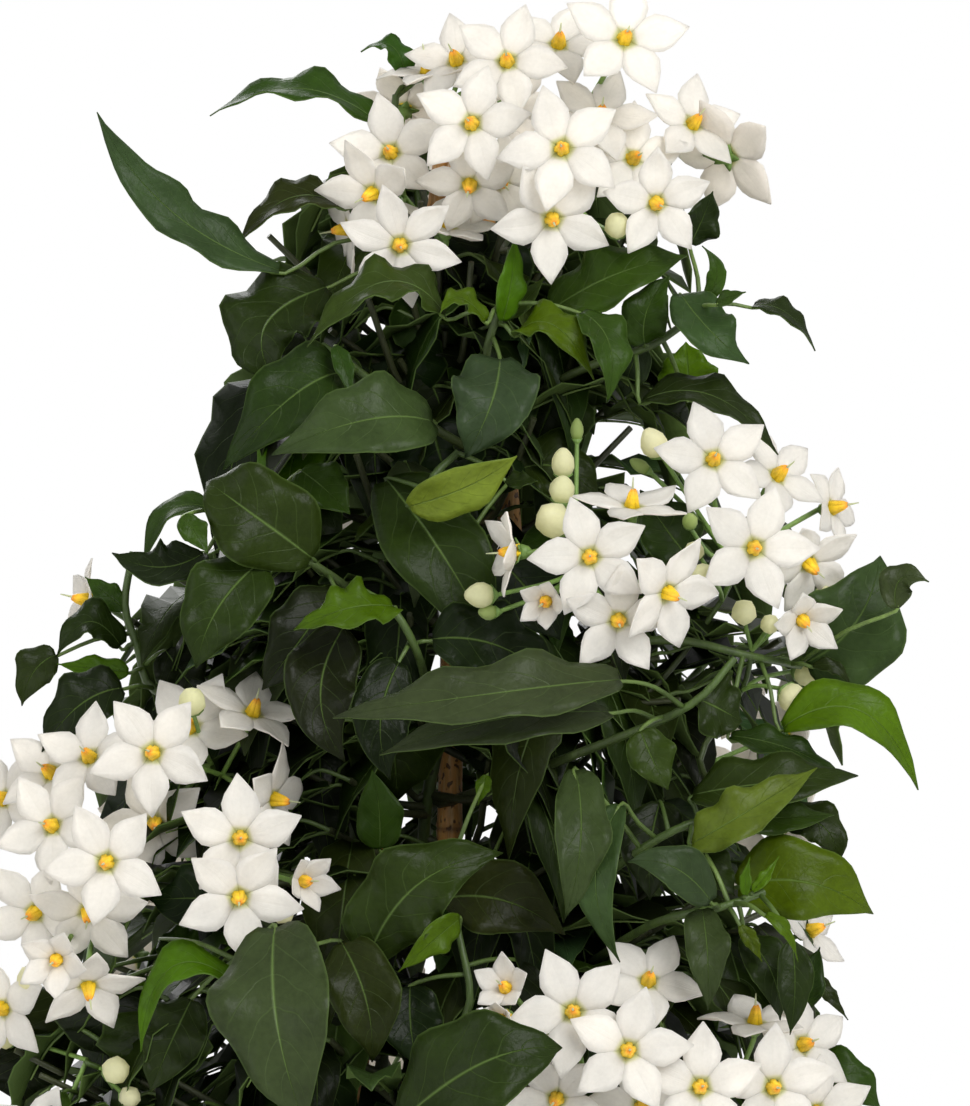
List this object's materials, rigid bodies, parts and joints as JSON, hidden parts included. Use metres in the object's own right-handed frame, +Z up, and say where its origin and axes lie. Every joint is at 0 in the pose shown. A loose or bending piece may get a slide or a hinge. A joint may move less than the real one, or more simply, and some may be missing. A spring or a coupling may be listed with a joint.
{
  "type": "potted potato vine",
  "caption": "White-flowered potato vine trained up a pyramid of bamboo canes in a plain round clay pot, with glossy dark green leaves.",
  "frame": {"origin": "middle of the pot's underside, on the surface it stands on", "axes": "+Z up along the pot's axis; +Y away from the side the picture was taken from; +X to that view's right"},
  "size_m": [0.2458, 0.2403, 0.5064],
  "materials": {
    "clay": "matte",
    "earth": "matte",
    "bamboo": "satin",
    "tie_rubber": "matte",
    "stem_green": "satin",
    "leaf_green": "satin",
    "petal_white": "matte"
  },
  "bodies": {
    "root": {"cane_1": "bamboo", "cane_2": "bamboo", "cane_3": "bamboo", "cane_tie": "tie_rubber", "main_stem_1": "stem_green", "main_stem_2": "stem_green", "main_stem_3": "stem_green", "pot": "clay", "shoot_back_01": "leaf_green", "shoot_back_02": "leaf_green", "shoot_back_03": "leaf_green", "shoot_back_04": "leaf_green", "shoot_back_05": "leaf_green", "shoot_back_06": "leaf_green", "shoot_back_07": "leaf_green", "shoot_back_08": "leaf_green", "shoot_back_09": "leaf_green", "shoot_back_10": "leaf_green", "shoot_centre": "leaf_green", "shoot_far_left": "leaf_green", "shoot_left_upper": "leaf_green", "shoot_long_right": "leaf_green", "shoot_low_left": "leaf_green", "shoot_low_middle": "leaf_green", "shoot_low_right": "leaf_green", "shoot_middle": "leaf_green", "shoot_middle_low": "leaf_green", "shoot_right_lower": "leaf_green", "shoot_right_upper": "leaf_green", "shoot_right_young": "leaf_green", "shoot_shoulder_left": "leaf_green", "shoot_skirt_1": "leaf_green", "shoot_skirt_2": "leaf_green", "shoot_skirt_3": "leaf_green", "shoot_skirt_4": "leaf_green", "shoot_skirt_5": "leaf_green", "shoot_top_left": "leaf_green", "shoot_top_middle": "leaf_green", "shoot_top_right": "leaf_green", "soil": "earth", "spray_back_1": "petal_white", "spray_back_2": "petal_white", "spray_back_3": "petal_white", "spray_back_4": "petal_white", "spray_back_5": "petal_white", "spray_far_left": "petal_white", "spray_left_inner": "petal_white", "spray_left_outer": "petal_white", "spray_left_upper": "petal_white", "spray_low_left": "petal_white", "spray_low_middle": "petal_white", "spray_low_right": "petal_white", "spray_right_edge": "petal_white", "spray_right_inner": "petal_white", "spray_right_low": "petal_white", "spray_right_outer": "petal_white", "spray_top_centre": "petal_white", "spray_top_left": "petal_white", "spray_top_middle": "petal_white", "spray_top_right": "petal_white"}
  },
  "joints": []
}
